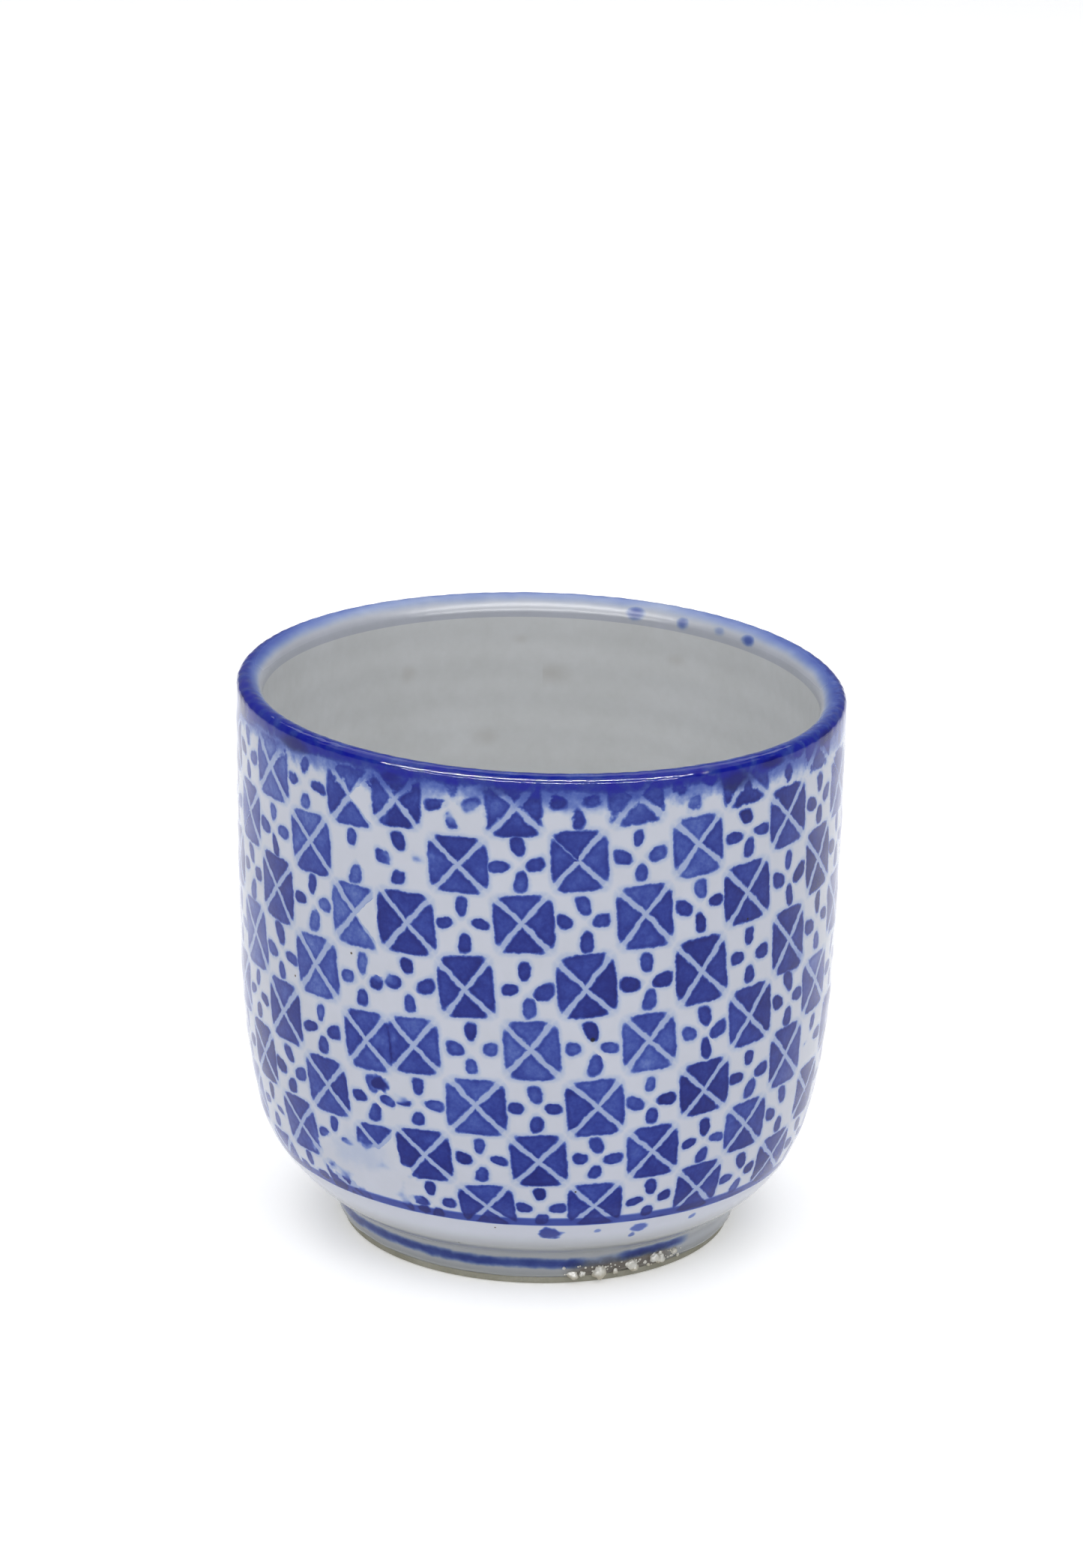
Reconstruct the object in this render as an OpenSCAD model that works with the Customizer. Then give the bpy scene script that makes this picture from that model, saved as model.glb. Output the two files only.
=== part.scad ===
// Handleless tea cup: one fired porcelain body on a turned foot ring, coated in clear glaze,
// with a cobalt band over the lip and two cobalt lines round the base.
// The frame's origin is the middle of the foot's resting plane, +Z runs up the cup's axis,
// and the front of the cup faces -Y.
// Every outline is walked along the clay's surface as points [radius, height, lean], where lean
// is the angle of the surface's outward normal: 0 faces outward, 90 down, -90 up, 180 the axis.

/* [Cup] */
// Outside diameter of the glazed rim
rim_d = 80; // [74:1:90]
// Height from the foot's resting plane to the glazed crest of the lip
cup_h = 74.8; // [70:0.2:84]
// Thickness of the glaze coat
glaze_t = 0.3; // [0.2:0.05:0.4]

/* [Lip] */
// Thickness of the glazed wall at the lip
lip_t = 3.4; // [3:0.1:4]
// Radius of the glazed lip's outer edge
lip_edge_r = 1.1; // [0.8:0.1:1.3]
// Height of the upright stretch under the lip's outer edge
lip_stretch_h = 1.2; // [0.5:0.1:3]

/* [Outer wall] */
// Lean of the wall at the bottom of its long upper curve, in degrees
upper_lean = 2.3; // [2:0.1:3]
// Lean of the wall where its middle curve turns into the bowl, in degrees
middle_lean = 12.3; // [10:0.5:14]
// Radius of the middle curve
middle_r = 97.5; // [85:2.5:110]
// Lean of the bowl where it meets the foot's corner, in degrees
bowl_lean = 58; // [54:1:62]
// Radius of the bowl's outer curve
bowl_r = 19.7; // [18:0.1:21]

/* [Inner wall] */
// Draft of the inner wall, in degrees
inner_draft = 1; // [0.5:0.1:1.5]
// Radius of the inner curve between the wall and the floor
inner_bowl_r = 20; // [17:0.5:21]
// Slope of the floor where the inner curve ends, in degrees
floor_slope = 15; // [12:1:18]
// Height of the middle of the glazed floor
floor_z = 10; // [9.5:0.1:12]

/* [Foot] */
// Height of the foot's straight outer wall
foot_h = 4; // [3.5:0.1:4.5]
// Taper of the foot's outer wall, in degrees
foot_taper = 15; // [12:1:18]
// Radius of the hollow corner between the bowl and the foot
foot_corner_r = 2.5; // [2:0.1:3]
// Width of the foot ring at its resting plane, round edges included
foot_w = 3.6; // [3.2:0.1:4.2]
// Radius of the foot's two bottom edges
foot_edge_r = 0.6; // [0.4:0.1:0.8]
// Draft of the well's wall inside the foot ring, in degrees
well_draft = 8; // [5:1:12]
// Radius of the fillet between the well's wall and its ceiling
well_fillet_r = 1.5; // [1:0.1:1.8]
// Depth of the well at the edge of its ceiling
well_h = 5.6; // [5.3:0.1:6]
// Rise of the well's ceiling towards the middle, as a slope at its edge in degrees
well_slope = 4; // [2:1:5]
// Height at which the glaze stops and leaves the foot's edge bare
bare_h = 1.1; // [0.9:0.1:1.4]

/* [Cobalt] */
// Depth of the blue band over the lip
rim_band_h = 2.8; // [2:0.1:4]
// Height of the middle of the line where the bowl begins
shoulder_line_z = 12.6; // [11:0.1:14]
// Height of that line's band
shoulder_line_h = 1.2; // [0.8:0.1:1.6]
// Height of the middle of the line round the foot
foot_line_z = 3.2; // [3:0.1:3.4]
// Height of that line's band
foot_line_h = 1.2; // [0.8:0.1:1.4]

/* [Hidden] */
$fn = 96;

// Each crumb of grit that stuck to the foot in the kiln: turn from the front, height and radius
GRIT = [[12, 1.5, 0.65], [19.5, 1.6, 0.8], [24, 1.4, 0.4], [28, 2.1, 0.55], [33.5, 1.6, 0.45],
        [37, 2.4, 0.55], [41, 2, 0.7]];

white_glaze = [0.80, 0.82, 0.86];
bare_clay = [0.62, 0.60, 0.53];
cobalt = [0.16, 0.20, 0.55];

// Walks a curve of radius r from point p, from lean a to lean b. A bulge has a positive radius
// and a hollow a negative one.
function arc(p, r, a, b, steps) =
    [for (i = [1:steps]) let (lean = a + (b - a) * i / steps)
        [p[0] + r * (cos(lean) - cos(a)), p[1] - r * (sin(lean) - sin(a)), lean]];
function last(line) = line[len(line) - 1];
function reversed(line) = [for (i = [len(line) - 1:-1:0]) line[i]];
function tail(line) = [for (i = [1:len(line) - 1]) line[i]];
// A line's points as plain [radius, height], moved out along the normals by t
function moved(line, t) = [for (p = line) [p[0] + t * cos(p[2]), p[1] - t * sin(p[2])]];

// Radii of the clay's curves, which lie one coat of glaze under the glazed ones
edge_r = lip_edge_r - glaze_t;
lip_inner_r = lip_t - lip_edge_r - glaze_t;
clay_bowl_r = bowl_r - glaze_t;
clay_middle_r = middle_r - glaze_t;
clay_corner_r = foot_corner_r + glaze_t;

// Outer line, from the crest of the lip to the top of the foot's straight wall. The upper
// curve takes the height that the other stretches leave.
crest = [rim_d / 2 - lip_edge_r, cup_h - glaze_t, -90];
lip_line = arc(crest, edge_r, -90, 0, 6);
stretch_end = [last(lip_line)[0], last(lip_line)[1] - lip_stretch_h, 0];
middle_drop = clay_middle_r * (sin(middle_lean) - sin(upper_lean));
bowl_drop = clay_bowl_r * (sin(bowl_lean) - sin(middle_lean));
corner_drop = clay_corner_r * (sin(bowl_lean) - sin(foot_taper));
upper_drop = stretch_end[1] - middle_drop - bowl_drop - corner_drop - foot_h;
upper_line = arc(stretch_end, upper_drop / sin(upper_lean), 0, upper_lean, 5);
middle_line = arc(last(upper_line), clay_middle_r, upper_lean, middle_lean, 6);
bowl_line = arc(last(middle_line), clay_bowl_r, middle_lean, bowl_lean, 12);
corner_line = arc(last(bowl_line), -clay_corner_r, bowl_lean, foot_taper, 6);
outer_line = concat([crest], lip_line, [stretch_end], upper_line, middle_line, bowl_line, corner_line);

// Foot line, down the foot's outer wall, across its resting plane and up to the foot's height
foot_top = last(outer_line);
edge_drop = foot_edge_r * (1 - sin(foot_taper));
edge_start = [foot_top[0] - (foot_h - edge_drop) * tan(foot_taper), edge_drop, foot_taper];
outer_edge = arc(edge_start, foot_edge_r, foot_taper, 90, 5);
well_edge_x = edge_start[0] - foot_w + foot_edge_r * (cos(well_draft) - cos(foot_taper));
pad_end = [well_edge_x + foot_edge_r * cos(well_draft), 0, 90];
inner_edge = arc(pad_end, foot_edge_r, 90, 180 - well_draft, 5);
function well_wall(z) = [last(inner_edge)[0] - (z - last(inner_edge)[1]) * tan(well_draft), z, 180 - well_draft];
foot_outline = concat([foot_top, edge_start], outer_edge, [pad_end], inner_edge, [well_wall(foot_h)]);

// Well line, from the foot's height up the well's wall and in under the floor to the axis
fillet_rise = well_fillet_r * (sin(90 + well_slope) - sin(180 - well_draft));
fillet_start = well_wall(well_h - fillet_rise);
fillet_line = arc(fillet_start, -well_fillet_r, 180 - well_draft, 90 + well_slope, 6);
ceiling_r = last(fillet_line)[0] / sin(well_slope);
ceiling_line = arc(last(fillet_line), -ceiling_r, 90 + well_slope, 90, 4);
well_line = concat([well_wall(foot_h), fillet_start], fillet_line, ceiling_line);

// Inner line, from the crest over the lip, down the inner wall and across the floor to the axis.
// The wall is as long as the two curves under it leave it, and the floor's curve ends on the axis.
inner_lip_line = arc(crest, lip_inner_r, -90, inner_draft - 180, 8);
wall_top = last(inner_lip_line);
clay_inner_r = inner_bowl_r + glaze_t;
inner_turn = 90 - floor_slope;
bowl_in = clay_inner_r * (cos(inner_draft) - cos(inner_turn));
bowl_fall = clay_inner_r * (sin(inner_turn) - sin(inner_draft));
// The floor's curve falls by this share of its own radius across
floor_share = tan(floor_slope / 2);
wall_fall = (wall_top[1] - floor_z + glaze_t - bowl_fall - (wall_top[0] - bowl_in) * floor_share)
    / (1 - tan(inner_draft) * floor_share);
wall_end = [wall_top[0] - wall_fall * tan(inner_draft), wall_top[1] - wall_fall, inner_draft - 180];
inner_bowl_line = arc(wall_end, -clay_inner_r, inner_draft - 180, inner_turn - 180, 12);
floor_r = last(inner_bowl_line)[0] / sin(floor_slope);
floor_line = arc(last(inner_bowl_line), -floor_r, inner_turn - 180, -90, 6);
inner_line = concat([crest], inner_lip_line, [wall_end], inner_bowl_line, floor_line);

// The flat ring of space between two heights, for cutting a coat into bands
module slab(z_low, z_high) translate([0, 0, z_low]) cylinder(h = z_high - z_low, d = rim_d + 10);

// A coat of glaze over the clay along a line
module coat(line) rotate_extrude() polygon(concat(moved(line, 0), reversed(moved(line, glaze_t))));

// The outside coat runs down to where the foot is left bare
bare_point = [foot_top[0] - (foot_h - bare_h) * tan(foot_taper), bare_h, foot_taper];
outside_line = concat(outer_line, [bare_point]);

module porcelain_body() color(white_glaze) rotate_extrude()
    polygon(moved(concat(outer_line, well_line, reversed(tail(inner_line))), 0));

module foot_ring() color(bare_clay) rotate_extrude() polygon(moved(foot_outline, 0));

module outer_glaze() color(white_glaze) intersection() {
    coat(outside_line);
    slab(shoulder_line_z + shoulder_line_h / 2, cup_h - rim_band_h);
}

// The plain coat under the shoulder line, parted by the foot's own line
module base_glaze() color(white_glaze) intersection() {
    coat(outside_line);
    union() {
        slab(0, foot_line_z - foot_line_h / 2);
        slab(foot_line_z + foot_line_h / 2, shoulder_line_z - shoulder_line_h / 2);
    }
}

module inner_glaze() color(white_glaze) intersection() {
    coat(inner_line);
    slab(0, cup_h - rim_band_h);
}

module foot_well_glaze() color(white_glaze) coat(concat([well_wall(bare_h)], tail(well_line)));

module rim_band() color(cobalt) intersection() {
    coat(concat(reversed(tail(inner_line)), outer_line));
    slab(cup_h - rim_band_h, cup_h + 1);
}

module cobalt_line(z_middle, h) color(cobalt) intersection() {
    coat(outside_line);
    slab(z_middle - h / 2, z_middle + h / 2);
}

module shoulder_line() cobalt_line(shoulder_line_z, shoulder_line_h);

module foot_line() cobalt_line(foot_line_z, foot_line_h);

// A crumb is a dome that sits on the slope of the glazed foot
module crumb(turn, z, r) rotate([0, 0, turn - 90])
    translate([foot_top[0] - (foot_h - z) * tan(foot_taper) + glaze_t / cos(foot_taper), 0, z])
        rotate([0, foot_taper, 0]) difference() {
            sphere(r = r);
            translate([-2 * r, -2 * r, -2 * r]) cube([2 * r, 4 * r, 4 * r]);
        }

module kiln_grit() color(bare_clay) for (g = GRIT) crumb(g[0], g[1], g[2]);

porcelain_body();
foot_ring();
outer_glaze();
base_glaze();
inner_glaze();
foot_well_glaze();
rim_band();
shoulder_line();
foot_line();
kiln_grit();
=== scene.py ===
"""A handleless porcelain tea cup: clear glaze over a cobalt print, a blue lip and two blue lines.

The cup's surface is one outline turned round the axis. A point on it has a turn, in degrees from
the front (-Y) towards +X, and a reach: the distance in millimetres along the glaze from the lip's
outer edge, positive down the outside and negative over the crest and down the inside. Each piece is
a stretch of that outline, and the print is drawn by nodes from the same turn and reach. Outlines are
in millimetres and become metres when a mesh is made.
"""
import math

import bmesh
import bpy
import numpy as np
from mathutils import Matrix, Vector, noise


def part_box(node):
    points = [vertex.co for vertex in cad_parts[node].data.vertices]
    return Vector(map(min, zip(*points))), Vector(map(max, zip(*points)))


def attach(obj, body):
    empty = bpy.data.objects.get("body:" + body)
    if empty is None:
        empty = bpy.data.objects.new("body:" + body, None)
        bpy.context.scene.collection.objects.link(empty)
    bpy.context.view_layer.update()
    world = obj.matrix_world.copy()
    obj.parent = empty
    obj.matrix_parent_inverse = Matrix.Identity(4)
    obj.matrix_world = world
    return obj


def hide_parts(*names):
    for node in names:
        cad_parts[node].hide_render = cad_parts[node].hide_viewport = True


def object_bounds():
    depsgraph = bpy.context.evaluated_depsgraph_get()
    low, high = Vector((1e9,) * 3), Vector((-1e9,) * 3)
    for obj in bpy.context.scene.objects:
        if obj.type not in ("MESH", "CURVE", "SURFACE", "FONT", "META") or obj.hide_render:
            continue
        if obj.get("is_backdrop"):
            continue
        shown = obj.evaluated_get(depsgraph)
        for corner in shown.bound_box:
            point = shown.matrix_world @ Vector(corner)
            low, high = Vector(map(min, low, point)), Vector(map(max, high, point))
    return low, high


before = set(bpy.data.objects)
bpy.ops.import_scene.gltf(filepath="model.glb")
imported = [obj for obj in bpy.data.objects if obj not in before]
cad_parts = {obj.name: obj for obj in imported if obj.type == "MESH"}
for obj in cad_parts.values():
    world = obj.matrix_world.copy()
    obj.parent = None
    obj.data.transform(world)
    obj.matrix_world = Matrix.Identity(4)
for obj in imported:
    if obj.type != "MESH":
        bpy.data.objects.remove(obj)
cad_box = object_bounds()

MM = 0.001

# ---------------------------------------------------------------- sizes, in millimetres


def low(node):
    """The node's lowest height."""
    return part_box(node)[0][2] / MM


def high(node):
    """The node's highest height."""
    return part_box(node)[1][2] / MM


def radius(node):
    """The node's largest radius."""
    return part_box(node)[1][0] / MM


RIM_R = radius("rim_band")
CUP_H = high("rim_band")
GLAZE_T = RIM_R - radius("porcelain_body")
FOOT_H = high("foot_ring")
BARE_H = low("base_glaze")
FLOOR_Z = low("inner_glaze") + GLAZE_T
BAND_Z = low("rim_band")
SHOULDER_LINE = low("shoulder_line"), high("shoulder_line")
FOOT_LINE = low("foot_line"), high("foot_line")

# The clay's curves, as in the CAD model: radii under the glaze, and leans in degrees
LIP_EDGE_R = 0.8
LIP_INNER_R = 2.0
LIP_STRETCH_H = 1.2
UPPER_LEAN = 2.3
MIDDLE_LEAN = 12.3
MIDDLE_R = 97.2
BOWL_LEAN = 58.0
BOWL_R = 19.4
CORNER_R = 2.8
FOOT_TAPER = 15.0
FOOT_W = 3.6
FOOT_EDGE_R = 0.6
WELL_DRAFT = 8.0
WELL_FILLET_R = 1.5
WELL_H = 5.6
WELL_SLOPE = 4.0
INNER_DRAFT = 1.0
INNER_BOWL_R = 20.3
FLOOR_SLOPE = 15.0


def sind(a):
    return math.sin(math.radians(a))


def cosd(a):
    return math.cos(math.radians(a))


def tand(a):
    return math.tan(math.radians(a))


# ---------------------------------------------------------------- outline


class Outline:
    """A line walked along the clay's surface, as rows of radius, height and lean.

    The lean is the angle of the surface's outward normal: 0 faces outward, 90 down, -90 up.
    """

    def __init__(self, r, z, lean, way=1):
        self.rows = [(r, z, lean)]
        self.way = way

    def bend(self, r, lean_to, step):
        """Adds a curve: a bulge has a positive radius and a hollow a negative one."""
        r0, z0, lean = self.rows[-1]
        length = abs(r * math.radians(lean_to - lean))
        count = max(4, math.ceil(length / step), math.ceil(abs(lean_to - lean) / 5))
        for i in range(1, count + 1):
            a = lean + (lean_to - lean) * i / count
            self.rows.append((r0 + r * (cosd(a) - cosd(lean)), z0 - r * (sind(a) - sind(lean)), a))
        return self

    def run(self, length, step):
        """Adds a straight stretch."""
        r0, z0, lean = self.rows[-1]
        count = max(1, math.ceil(length / step))
        for i in range(1, count + 1):
            d = self.way * length * i / count
            self.rows.append((r0 - d * sind(lean), z0 - d * cosd(lean), lean))
        return self

    @property
    def end(self):
        return self.rows[-1]


def inside_line():
    """From the crest of the lip down the inside and across the floor to the axis."""
    line = Outline(RIM_R - GLAZE_T - LIP_EDGE_R, CUP_H - GLAZE_T, -90, way=-1)
    line.bend(LIP_INNER_R, INNER_DRAFT - 180, 0.15)
    turn = 90 - FLOOR_SLOPE
    bowl_in = INNER_BOWL_R * (cosd(INNER_DRAFT) - cosd(turn))
    bowl_fall = INNER_BOWL_R * (sind(turn) - sind(INNER_DRAFT))
    share = tand(FLOOR_SLOPE / 2)
    fall = line.end[1] - FLOOR_Z + GLAZE_T - bowl_fall - (line.end[0] - bowl_in) * share
    fall /= 1 - tand(INNER_DRAFT) * share
    line.run(fall / cosd(INNER_DRAFT), 0.8)
    line.bend(-INNER_BOWL_R, turn - 180, 0.6)
    return line.bend(-line.end[0] / sind(FLOOR_SLOPE), -90, 0.7)


def outside_line():
    """From the crest of the lip down the outside, round the foot and up the well to its axis."""
    line = Outline(RIM_R - GLAZE_T - LIP_EDGE_R, CUP_H - GLAZE_T, -90)
    line.bend(LIP_EDGE_R, 0, 0.12).run(LIP_STRETCH_H, 0.4)
    drop = MIDDLE_R * (sind(MIDDLE_LEAN) - sind(UPPER_LEAN))
    drop += BOWL_R * (sind(BOWL_LEAN) - sind(MIDDLE_LEAN))
    drop += CORNER_R * (sind(BOWL_LEAN) - sind(FOOT_TAPER))
    line.bend((line.end[1] - drop - FOOT_H) / sind(UPPER_LEAN), UPPER_LEAN, 0.8)
    line.bend(MIDDLE_R, MIDDLE_LEAN, 0.8).bend(BOWL_R, BOWL_LEAN, 0.5)
    line.bend(-CORNER_R, FOOT_TAPER, 0.25)
    line.run((FOOT_H - FOOT_EDGE_R * (1 - sind(FOOT_TAPER))) / cosd(FOOT_TAPER), 0.2)
    line.bend(FOOT_EDGE_R, 90, 0.1)
    line.run(FOOT_W - FOOT_EDGE_R * (cosd(WELL_DRAFT) + cosd(FOOT_TAPER)), 0.25)
    line.bend(FOOT_EDGE_R, 180 - WELL_DRAFT, 0.1)
    fillet_rise = WELL_FILLET_R * (sind(90 + WELL_SLOPE) - sind(180 - WELL_DRAFT))
    line.run((WELL_H - fillet_rise - line.end[1]) / cosd(WELL_DRAFT), 0.25)
    line.bend(-WELL_FILLET_R, 90 + WELL_SLOPE, 0.2)
    return line.bend(-line.end[0] / sind(WELL_SLOPE), 90, 0.8)


def offset(rows, t):
    """Rows moved out along their normals."""
    lean = np.radians(rows[:, 2])
    moved = rows.copy()
    moved[:, 0] = np.maximum(rows[:, 0] + t * np.cos(lean), 0)
    moved[:, 1] = rows[:, 1] - t * np.sin(lean)
    return moved


LIP_SHOULDER = 0.83  # from the crest of the lip to its outer edge, along the glaze


def whole_outline():
    """The cup's full outline from the middle of its floor to the middle of its well, with reach."""
    inside = inside_line().rows
    rows = np.array(inside[::-1] + outside_line().rows[1:])
    glazed = offset(rows, GLAZE_T)
    steps = np.hypot(np.diff(glazed[:, 0]), np.diff(glazed[:, 1]))
    reach = np.concatenate([[0.0], np.cumsum(steps)])
    return np.column_stack([rows, reach - reach[len(inside) - 1] - LIP_SHOULDER])


OUTLINE = whole_outline()
CREST = int(np.argmax(OUTLINE[:, 1]))
PAD = int(np.argmin(OUTLINE[:, 1]))
SIDES = {"inside": slice(0, CREST + 1), "outside": slice(CREST, PAD + 1), "well": slice(PAD, None)}


def reach_at(z, side="outside", t=GLAZE_T):
    """The reach at which one side of the cup comes to a height."""
    rows = OUTLINE[SIDES[side]]
    heights = offset(rows, t)[:, 1]
    order = np.argsort(heights, kind="stable")
    return float(np.interp(z, heights[order], rows[order, 3]))


BORDER = 0.05  # a narrow row at each end of a stretch keeps the shading even across pieces


def stretch(start, end):
    """The outline between two reaches, with rows added at its ends."""
    inner = [s for s in OUTLINE[:, 3] if start + 2 * BORDER < s < end - 2 * BORDER]
    reaches = np.array([start, start + BORDER] + inner + [end - BORDER, end])
    columns = [np.interp(reaches, OUTLINE[:, 3], OUTLINE[:, k]) for k in range(3)]
    return np.column_stack(columns + [reaches])


FLOOR_MIDDLE = float(OUTLINE[0, 3])
WELL_MIDDLE = float(OUTLINE[-1, 3])

# ---------------------------------------------------------------- the hand-made shape

RIM_TILT = 0.57  # how far the lip dips on the right and rises on the left
FOOT_SHIFT = 0.47  # how far the foot sits off the axis, to the right
FOOT_SHIFT_TOP = 14.0
FOOT_SHIFT_FADE = 6.0


def thrown(turn, r, z):
    """The cup's small unevenness: where a point of the true outline really lies."""
    a = np.radians(turn)
    height = np.clip(z / CUP_H, 0, 1)
    oval = 0.13 * np.sin(2 * a + 0.5) + 0.08 * np.sin(3 * a - 1.1) + 0.04 * np.sin(5 * a + 2.0)
    rings = 0.03 * np.sin(z * 1.31 + 0.9 * np.sin(a)) + 0.025 * np.sin(z * 0.57 + 1.3 * np.sin(a + 1))
    out = r + np.clip(r / 10, 0, 1) * (oval * height**1.5 + rings * np.clip(z / 12 - 0.3, 0, 1))
    shift = FOOT_SHIFT * np.clip((FOOT_SHIFT_TOP - z) / FOOT_SHIFT_FADE, 0, 1)
    tilt = -RIM_TILT * height * out / RIM_R * np.sin(a)
    sag = height**4 * (0.07 * np.sin(2 * a + 2.2) + 0.05 * np.sin(3 * a + 0.3))
    return out * np.sin(a) + shift, -out * np.cos(a), z + tilt + sag


WAVES = 9


def waves(turn, seed, low_count, high_count):
    """A random line round the cup, with a spread of about 1, made of waves that close on themselves."""
    rng = np.random.default_rng(seed)
    a = np.radians(turn)
    total = 0.0
    for _ in range(WAVES):
        total = total + np.sin(rng.integers(low_count, high_count) * a + rng.uniform(0, 2 * math.pi))
    return total * math.sqrt(2 / WAVES)


LIP_GRAIN = 0.012  # how far the lip's glaze rises and falls
LIP_GRAIN_FADE = 2.2
BEAD = 0.7  # the length over which the glaze thins out to its edge at the bare foot
BEAD_WAVE = 0.16
BEAD_SWELL = 0.25


def coat_lift(turn, reach):
    """How far the glazed surface lies off its true outline."""
    on_lip = np.exp(-((reach + LIP_SHOULDER) / LIP_GRAIN_FADE) ** 2)
    lift = on_lip * LIP_GRAIN * (waves(turn, 3, 30, 130) + np.sin(4 * reach) * waves(turn, 4, 30, 110))
    for end, way, seed in ((FOOT_GLAZE_END, 1, 5), (WELL_GLAZE_START, -1, 6)):
        left = way * (end - reach) - BEAD_WAVE * (1 + waves(turn, seed, 3, 26) / 2)
        share = np.clip(left / BEAD, 0, 1)
        near = np.abs(end - reach) < 2 * BEAD
        swell = 1 + BEAD_SWELL * np.exp(-((share - 0.8) / 0.35) ** 2)
        lift = np.where(near, GLAZE_T * (np.sqrt(1 - (1 - share) ** 2) * swell - 1) - BEDDING, lift)
    return lift


# ---------------------------------------------------------------- meshes

TURNS = 384  # columns round a piece
BEDDING = 0.02  # the clay lies this far under the glaze's inner side
HIDDEN_SHARE = 0.03  # the top of the texture, left to the faces that no one sees
STRIP_MARGIN = 0.006
WRAP_MM = 100  # millimetres of reach to one unit of the UV map "wrap"


def texture_spot(around, along, strip, strips):
    """Where a point that shows lies on the texture, from its shares of the way round and along."""
    across = STRIP_MARGIN + (1 - 2 * STRIP_MARGIN) * (around * strips - strip)
    up = (strip + STRIP_MARGIN + (1 - 2 * STRIP_MARGIN) * along) / strips * (1 - HIDDEN_SHARE)
    return across, up


def turned(name, shown, hidden, lift=None, turns=TURNS, strips=2):
    """A closed mesh made by turning a cross-section, its shown side and its hidden side.

    The UV map "wrap" holds the turn and the reach. The map "OFBake" lays the shown side out in
    strips, each a share of the way round, so that a texture holds it at an even scale.
    """
    rows = np.concatenate([shown, hidden[::-1]])
    count, seen = len(rows), len(shown)
    turn = np.tile(np.arange(turns) * 360.0 / turns - 180, (count, 1))
    r, z, lean, reach = (np.tile(rows[:, k:k + 1], (1, turns)) for k in range(4))
    if lift:
        rise = lift(turn, reach)
        rise[seen:] = 0
        r = r + rise * np.cos(np.radians(lean))
        z = z - rise * np.sin(np.radians(lean))
    on_axis = rows[:, 0] < 1e-6
    points = np.stack(thrown(turn, r, z), 2).reshape(-1, 3) * MM

    index = np.arange(count * turns).reshape(count, turns)
    index[on_axis] = index[on_axis][:, :1]
    reach = rows[:, 3]
    start, span = reach[:seen].min(), np.ptp(reach[:seen])
    faces, wraps, bakes = [], [], []
    for i in range(count):
        k = (i + 1) % count
        if on_axis[i] and on_axis[k]:
            continue
        corners = [(i, 0), (k, 0), (k, 1), (i, 1)]
        if on_axis[i]:
            corners = [(i, 0), (k, 0), (k, 1)]
        if on_axis[k]:
            corners = [(i, 0), (k, 0), (i, 1)]
        for j in range(turns):
            strip = j * strips // turns
            faces.append([int(index[row, (j + side) % turns]) for row, side in corners])
            for row, side in corners:
                around = (j + side) / turns
                wraps.append((around, reach[row] / WRAP_MM))
                across, up = texture_spot(around, (reach[row] - start) / span, strip, strips)
                if i >= seen - 1:
                    up = 1 - HIDDEN_SHARE * (0.2 + 0.6 * (row != i))
                bakes.append((across, up))

    mesh = bpy.data.meshes.new(name)
    mesh.from_pydata(points.tolist(), [], faces)
    mesh.uv_layers.new(name="wrap").data.foreach_set("uv", np.array(wraps).ravel())
    mesh.uv_layers.new(name="OFBake").data.foreach_set("uv", np.array(bakes).ravel())
    mesh.uv_layers.active = mesh.uv_layers["wrap"]
    soften(mesh, turns, [0, seen - 1, seen, count - 1])
    return linked(name, mesh)


def soften(mesh, turns, sharp_rows):
    """Shades a turned mesh smooth but for the given rows, and drops the spare points on the axis."""
    mesh.shade_smooth()
    ends = np.empty(len(mesh.edges) * 2, dtype=np.int32)
    mesh.edges.foreach_get("vertices", ends)
    row_of = ends.reshape(-1, 2) // turns
    sharp = (row_of[:, 0] == row_of[:, 1]) & np.isin(row_of[:, 0], sharp_rows)
    mark = mesh.attributes.new("sharp_edge", "BOOLEAN", "EDGE")
    mark.data.foreach_set("value", sharp)
    work = bmesh.new()
    work.from_mesh(mesh)
    bmesh.ops.delete(work, geom=[v for v in work.verts if not v.link_faces], context="VERTS")
    work.to_mesh(mesh)
    work.free()


def linked(name, mesh):
    piece = bpy.data.objects.new(name, mesh)
    bpy.context.scene.collection.objects.link(piece)
    return piece


def joined_pieces(name, pieces):
    """One object made of several."""
    with bpy.context.temp_override(active_object=pieces[0], selected_editable_objects=pieces):
        bpy.ops.object.join()
    pieces[0].name = name
    return pieces[0]


def coat(name, start, end, **choices):
    """A stretch of the glaze, from its surface down to the clay."""
    rows = stretch(start, end)
    return turned(name, offset(rows, GLAZE_T), offset(rows, 0), coat_lift, **choices)


# ---------------------------------------------------------------- node arithmetic


class Field:
    """A value at every point of a surface: a node's output, with arithmetic that adds Math nodes."""

    def __init__(self, socket):
        self.socket = socket
        self.tree = socket.id_data

    def __add__(self, other):
        return calc(self.tree, "ADD", self, other)

    def __radd__(self, other):
        return calc(self.tree, "ADD", other, self)

    def __sub__(self, other):
        return calc(self.tree, "SUBTRACT", self, other)

    def __rsub__(self, other):
        return calc(self.tree, "SUBTRACT", other, self)

    def __mul__(self, other):
        return calc(self.tree, "MULTIPLY", self, other)

    def __truediv__(self, other):
        return calc(self.tree, "DIVIDE", self, other)

    def __abs__(self):
        return calc(self.tree, "ABSOLUTE", self)

    def __round__(self):
        return calc(self.tree, "ROUND", self)


def feed(socket, value):
    """Links a field to an input, or sets the input to a plain value."""
    if isinstance(value, Field):
        socket.id_data.links.new(value.socket, socket)
    else:
        socket.default_value = value


def calc(tree, operation, *values):
    """One Math node."""
    node = tree.nodes.new("ShaderNodeMath")
    node.operation = operation
    for socket, value in zip(node.inputs, values):
        feed(socket, value)
    return Field(node.outputs[0])


def smaller(a, b):
    return calc(a.tree, "MINIMUM", a, b)


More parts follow.
